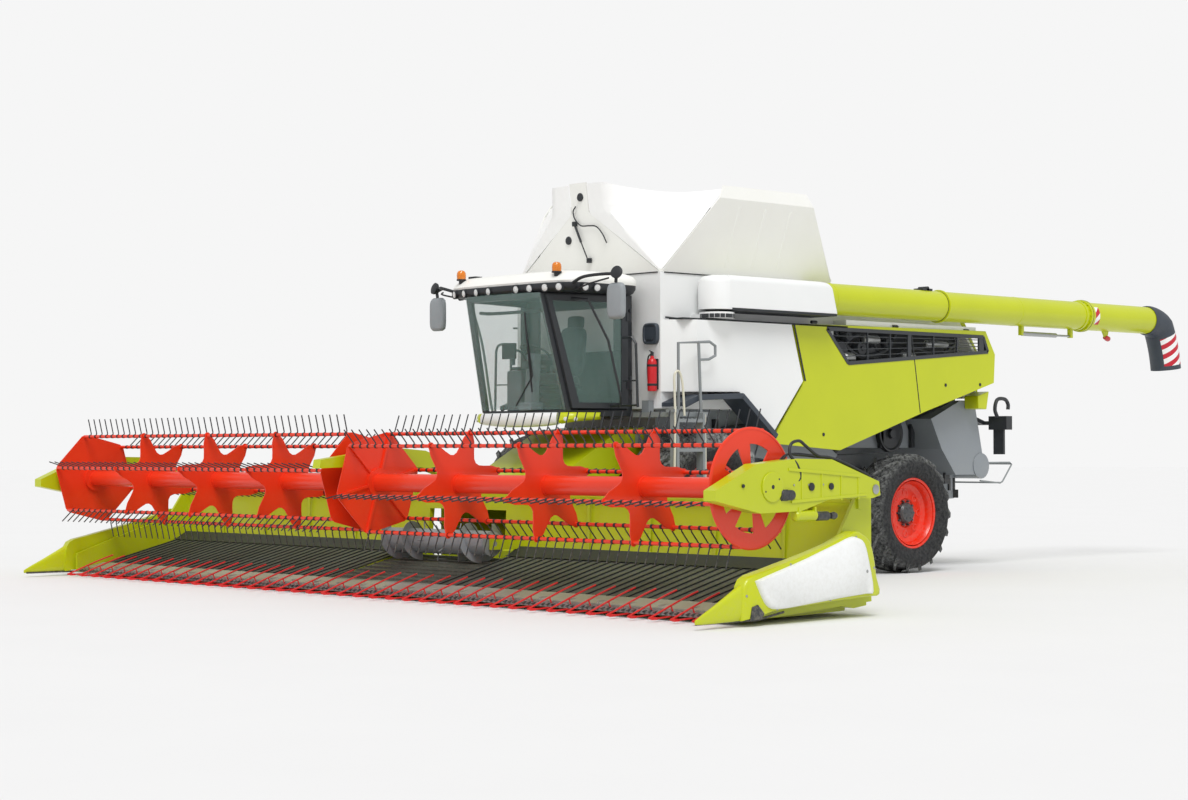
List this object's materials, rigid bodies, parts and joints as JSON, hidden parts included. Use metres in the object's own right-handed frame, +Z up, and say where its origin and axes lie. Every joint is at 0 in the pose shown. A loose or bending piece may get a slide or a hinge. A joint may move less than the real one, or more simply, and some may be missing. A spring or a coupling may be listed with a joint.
{
  "type": "combine harvester",
  "caption": "Self-propelled combine harvester with a wide belt header and sectioned reel, an open grain tank, a folding unloading auger, a hinged cab door, and steered rear wheels.",
  "frame": {"origin": "middle of the footprint, on the ground, with the header down", "axes": "+X to the machine's left, -Y forwards over the header, +Z up"},
  "size_m": [12.8, 15.8602, 5.1399],
  "materials": {
    "lime_paint": "gloss lime paint",
    "white_paint": "gloss white paint",
    "red_paint": "gloss red paint",
    "dark_panel": "moulded dark grey",
    "grey_panel": "satin mid grey",
    "black_steel": "satin black",
    "tyre_rubber": "dusty black",
    "belt_rubber": "matte olive grey",
    "tinted_glass": "pale green tint",
    "black_plastic": "satin black",
    "seat_cloth": "woven",
    "bare_steel": "ground",
    "rail_steel": "satin grey",
    "cream_cover": "smooth off white"
  },
  "bodies": {
    "machine": {"chassis_frame": "black_steel", "threshing_body": "grey_panel", "engine_block": "black_steel", "grain_tank": "white_paint", "front_axle": "black_steel", "rear_axle": "black_steel", "front_side_panel_left": "white_paint", "front_side_panel_right": "white_paint", "fender_left": "dark_panel", "fender_right": "dark_panel", "engine_deck": "white_paint", "straw_hood": "grey_panel", "rear_light_bar": "black_steel", "cab_frame": "black_plastic", "cab_roof": "white_paint", "windscreen": "tinted_glass", "right_window": "tinted_glass", "cab_bumper": "white_paint", "driver_seat": "seat_cloth", "platform": "rail_steel"},
    "front_wheel_left": {"front_tyre_left": "tyre_rubber", "front_rim_left": "red_paint"},
    "rear_knuckle_left": {"rear_knuckle_left": "black_steel"},
    "rear_wheel_left": {"rear_tyre_left": "tyre_rubber", "rear_rim_left": "red_paint"},
    "side_panel_left": {"side_panel_left": "lime_paint"},
    "front_wheel_right": {"front_tyre_right": "tyre_rubber", "front_rim_right": "red_paint"},
    "rear_knuckle_right": {"rear_knuckle_right": "black_steel"},
    "rear_wheel_right": {"rear_tyre_right": "tyre_rubber", "rear_rim_right": "red_paint"},
    "side_panel_right": {"side_panel_right": "lime_paint"},
    "tank_cover_left": {"tank_cover_left": "cream_cover"},
    "tank_cover_right": {"tank_cover_right": "cream_cover"},
    "tank_cover_front": {"tank_cover_front": "cream_cover"},
    "tank_cover_rear": {"tank_cover_rear": "cream_cover"},
    "cab_door": {"cab_door": "black_plastic", "door_glass": "tinted_glass"},
    "ladder": {"ladder": "rail_steel"},
    "auger": {"auger_tube": "lime_paint"},
    "auger_tip": {"auger_tip": "lime_paint", "auger_spout": "dark_panel"},
    "header": {"feeder_house": "lime_paint", "header_frame": "lime_paint", "belt_left": "belt_rubber", "belt_right": "belt_rubber", "knife_bar": "bare_steel", "end_shield_left": "white_paint", "end_shield_right": "white_paint"},
    "intake_drum": {"intake_drum": "lime_paint"},
    "reel_arms": {"reel_arm_left": "lime_paint", "reel_arm_right": "lime_paint", "reel_arm_middle": "lime_paint"},
    "reel_carriages": {"reel_carriage_left": "lime_paint", "reel_carriage_right": "lime_paint", "reel_carriage_middle": "lime_paint"},
    "reel_left": {"reel_left": "red_paint"},
    "reel_right": {"reel_right": "red_paint"},
    "lift_barrels": {"lift_barrels": "black_steel"},
    "lift_rods": {"lift_rods": "bare_steel"}
  },
  "joints": [
    {"name": "front_wheel_left_spin", "type": "hinge", "parent": "machine", "child": "front_wheel_left", "pos_m": [1.32, -2.76, 0.99], "axis": [1, 0, 0], "continuous": true},
    {"name": "steering_left", "type": "hinge", "parent": "machine", "child": "rear_knuckle_left", "pos_m": [1.04, 1.23, 0.82], "axis": [0, 0, 1], "range_deg": [-40, 40]},
    {"name": "rear_wheel_left_spin", "type": "hinge", "parent": "rear_knuckle_left", "child": "rear_wheel_left", "pos_m": [1.44, 1.23, 0.82], "axis": [1, 0, 0], "continuous": true},
    {"name": "side_panel_left_lift", "type": "hinge", "parent": "machine", "child": "side_panel_left", "pos_m": [1.57, 1.07, 3.4], "axis": [0, -1, 0], "range_deg": [0, 65]},
    {"name": "front_wheel_right_spin", "type": "hinge", "parent": "machine", "child": "front_wheel_right", "pos_m": [-1.32, -2.76, 0.99], "axis": [1, 0, 0], "continuous": true},
    {"name": "steering_right", "type": "hinge", "parent": "machine", "child": "rear_knuckle_right", "pos_m": [-1.04, 1.23, 0.82], "axis": [0, 0, 1], "range_deg": [-40, 40]},
    {"name": "rear_wheel_right_spin", "type": "hinge", "parent": "rear_knuckle_right", "child": "rear_wheel_right", "pos_m": [-1.44, 1.23, 0.82], "axis": [1, 0, 0], "continuous": true},
    {"name": "side_panel_right_lift", "type": "hinge", "parent": "machine", "child": "side_panel_right", "pos_m": [-1.57, 1.07, 3.4], "axis": [0, 1, 0], "range_deg": [0, 65]},
    {"name": "tank_cover_left_fold", "type": "hinge", "parent": "machine", "child": "tank_cover_left", "pos_m": [1.32, -1.72, 3.9403], "axis": [0, -1, 0], "range_deg": [0, 109]},
    {"name": "tank_cover_right_fold", "type": "hinge", "parent": "machine", "child": "tank_cover_right", "pos_m": [-1.32, -1.72, 3.9403], "axis": [0, 1, 0], "range_deg": [-1, 110]},
    {"name": "tank_cover_front_fold", "type": "hinge", "parent": "machine", "child": "tank_cover_front", "pos_m": [0, -3.36, 3.9403], "axis": [-1, 0, 0], "range_deg": [-1, 99]},
    {"name": "tank_cover_rear_fold", "type": "hinge", "parent": "machine", "child": "tank_cover_rear", "pos_m": [0, -0.08, 3.9403], "axis": [1, 0, 0], "range_deg": [-1, 99]},
    {"name": "cab_door_swing", "type": "hinge", "parent": "machine", "child": "cab_door", "pos_m": [1.045, -3.61, 2.9], "axis": [0, 0, 1], "range_deg": [0, 65]},
    {"name": "ladder_swing", "type": "hinge", "parent": "machine", "child": "ladder", "pos_m": [1.86, -3.67, 1.4], "axis": [0, 0, -1], "range_deg": [0, 90]},
    {"name": "auger_swing", "type": "hinge", "parent": "machine", "child": "auger", "pos_m": [1.6, -2.63, 3.7], "axis": [0, 0, -1], "range_deg": [0, 105]},
    {"name": "auger_fold", "type": "hinge", "parent": "auger", "child": "auger_tip", "pos_m": [1.325, 5.37, 3.7], "axis": [0, 0, 1], "range_deg": [0, 95]},
    {"name": "header_lift", "type": "hinge", "parent": "machine", "child": "header", "pos_m": [0, -3.21, 1.86], "axis": [-1, 0, 0], "range_deg": [0, 16]},
    {"name": "intake_drum_spin", "type": "hinge", "parent": "header", "child": "intake_drum", "pos_m": [0, -5.83, 0.6], "axis": [1, 0, 0], "continuous": true},
    {"name": "reel_lift", "type": "hinge", "parent": "header", "child": "reel_arms", "pos_m": [0, -5.33, 1.3], "axis": [-1, 0, 0], "range_deg": [-4, 20]},
    {"name": "reel_reach", "type": "slide", "parent": "reel_arms", "child": "reel_carriages", "axis": [0, -1, 0], "range_m": [-0.1, 0.55]},
    {"name": "reel_left_spin", "type": "hinge", "parent": "reel_carriages", "child": "reel_left", "pos_m": [3, -6.93, 1.328], "axis": [1, 0, 0], "continuous": true},
    {"name": "reel_right_spin", "type": "hinge", "parent": "reel_carriages", "child": "reel_right", "pos_m": [-3, -6.93, 1.328], "axis": [1, 0, 0], "continuous": true},
    {"name": "lift_barrels_swing", "type": "hinge", "parent": "machine", "child": "lift_barrels", "pos_m": [0, -3.03, 0.7], "axis": [-1, 0, 0], "range_deg": [-1, 15]},
    {"name": "lift_rods_slide", "type": "slide", "parent": "lift_barrels", "child": "lift_rods", "axis": [0, -0.995, -0.0995], "range_m": [-0.01, 0.34]}
  ],
  "couplings": [
    {"joint": "steering_right", "follows": "steering_left", "ratio": 1},
    {"joint": "tank_cover_right_fold", "follows": "tank_cover_left_fold", "ratio": 1},
    {"joint": "tank_cover_front_fold", "follows": "tank_cover_left_fold", "ratio": 0.89908},
    {"joint": "tank_cover_rear_fold", "follows": "tank_cover_left_fold", "ratio": 0.89908},
    {"joint": "lift_barrels_swing", "follows": "header_lift", "ratio": 0.869},
    {"joint": "lift_rods_slide", "follows": "header_lift", "m_per_rad": 1.152}
  ]
}
